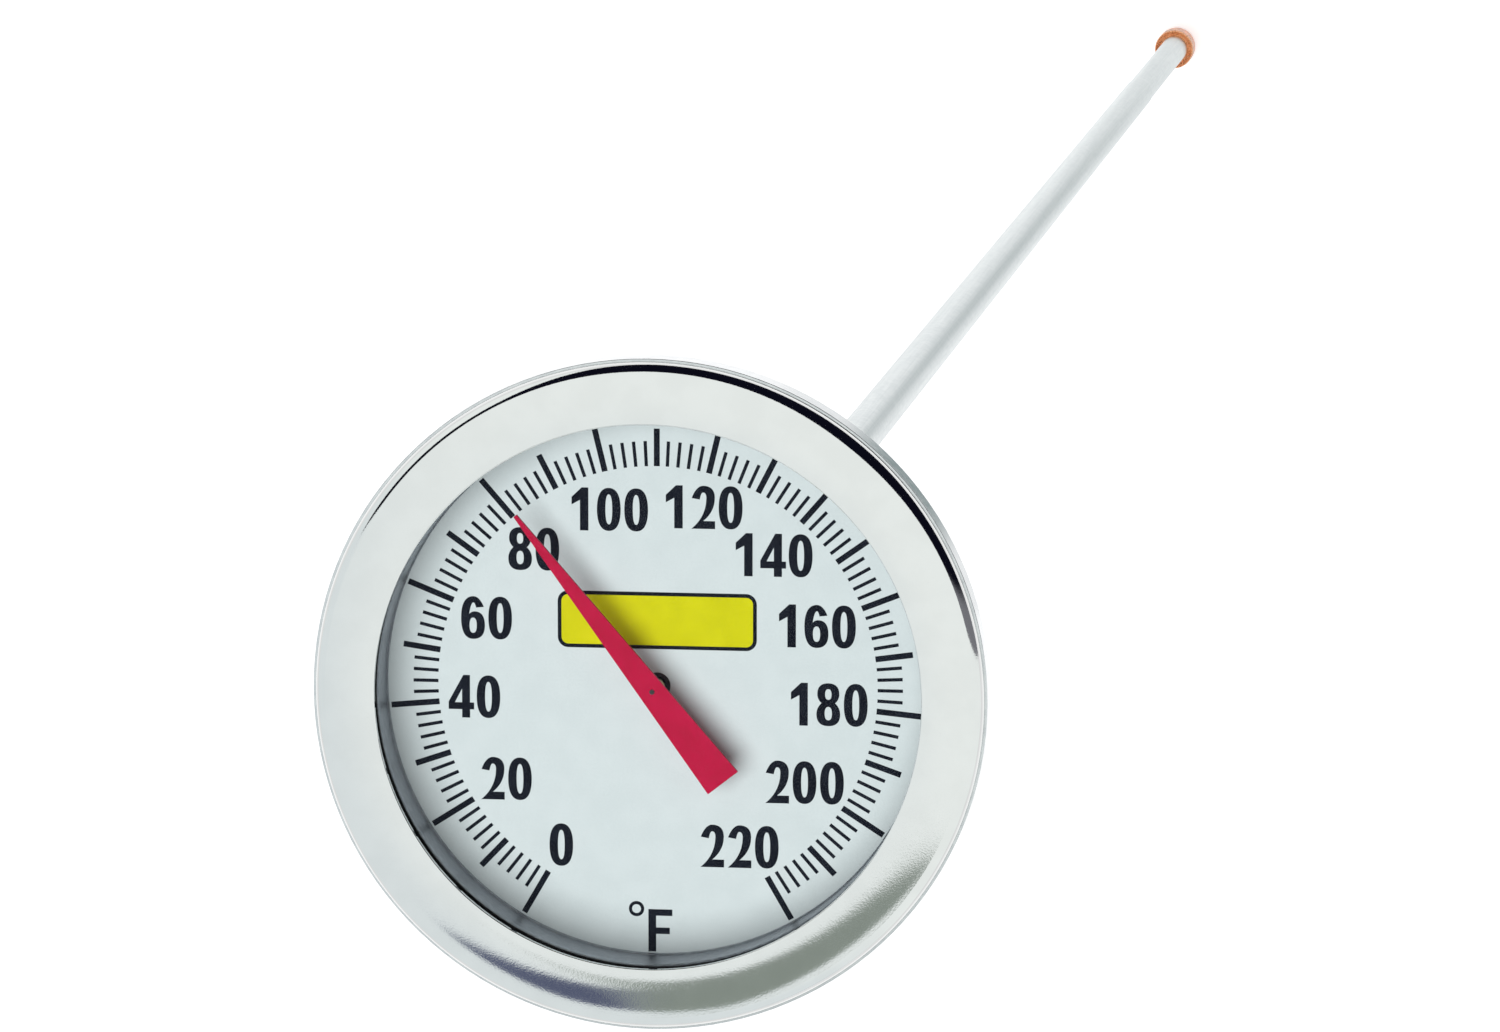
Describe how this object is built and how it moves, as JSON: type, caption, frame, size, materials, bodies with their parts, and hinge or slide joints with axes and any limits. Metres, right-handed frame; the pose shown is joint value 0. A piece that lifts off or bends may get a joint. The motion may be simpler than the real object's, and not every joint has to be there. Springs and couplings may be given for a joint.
{
  "type": "dial thermometer",
  "caption": "Round-faced bimetal dial thermometer on a long straight stem, with a red tapered pointer, a polished bezel and a translucent tip cap.",
  "frame": {"origin": "centre of the hexagonal hub's underside, where the stem leaves it", "axes": "+Z out through the face of the dial, along the stem's axis and away from its tip; +Y towards the dial's twelve o'clock; +X towards three o'clock"},
  "size_m": [0.0506, 0.0506, 0.5277],
  "materials": {
    "bezel_steel": "polished stainless steel with fine grain",
    "case_steel": "satin stainless steel",
    "stem_steel": "satin drawn stainless tube",
    "hub_steel": "machined stainless steel",
    "spring_steel": "spring steel",
    "spacer_metal": "bright formed aluminium",
    "dial_face": "pale blue-grey satin coat on aluminium",
    "window_glass": "clear flat glass",
    "gasket_rubber": "black rubber",
    "pointer_red": "crimson paint on aluminium sheet",
    "brass": "turned brass",
    "bimetal": "rolled bimetal strip",
    "bearing_black": "black nylon",
    "nylon": "natural nylon",
    "cap_orange": "soft translucent orange vinyl"
  },
  "bodies": {
    "stem": {"hex_hub": "hub_steel", "stem_tube": "stem_steel", "tip_plug": "stem_steel", "friction_washer": "nylon", "spring_washer": "spring_steel", "retaining_ring": "spring_steel", "spindle_bearing": "bearing_black", "coil_anchor": "brass", "bimetal_coil": "bimetal", "guide_bush_1": "brass", "guide_bush_2": "brass", "guide_bush_3": "brass", "guide_bush_4": "brass"},
    "head": {"case_cup": "case_steel", "dial_plate": "dial_face", "spacer_ring": "spacer_metal", "glass_lens": "window_glass", "lens_gasket": "gasket_rubber", "bezel_ring": "bezel_steel"},
    "pointer_assembly": {"spindle": "spring_steel", "coil_collet": "brass", "pointer_hub": "brass", "pointer": "pointer_red"},
    "cap": {"tip_cap": "cap_orange"}
  },
  "joints": [
    {"name": "head_turn", "type": "hinge", "parent": "stem", "child": "head", "pos_m": [0, 0, 0.0115], "axis": [0, 0, 1], "continuous": true},
    {"name": "pointer_turn", "type": "hinge", "parent": "stem", "child": "pointer_assembly", "pos_m": [0, 0, 0.014], "axis": [0, 0, -1], "range_deg": [-111.82, 188.18], "stiffness_Nm_per_rad": 0.000002, "deforming": ["bimetal_coil"]},
    {"name": "cap_pull", "type": "slide", "parent": "stem", "child": "cap", "axis": [0, 0, -1], "range_m": [0, 0.04]}
  ]
}
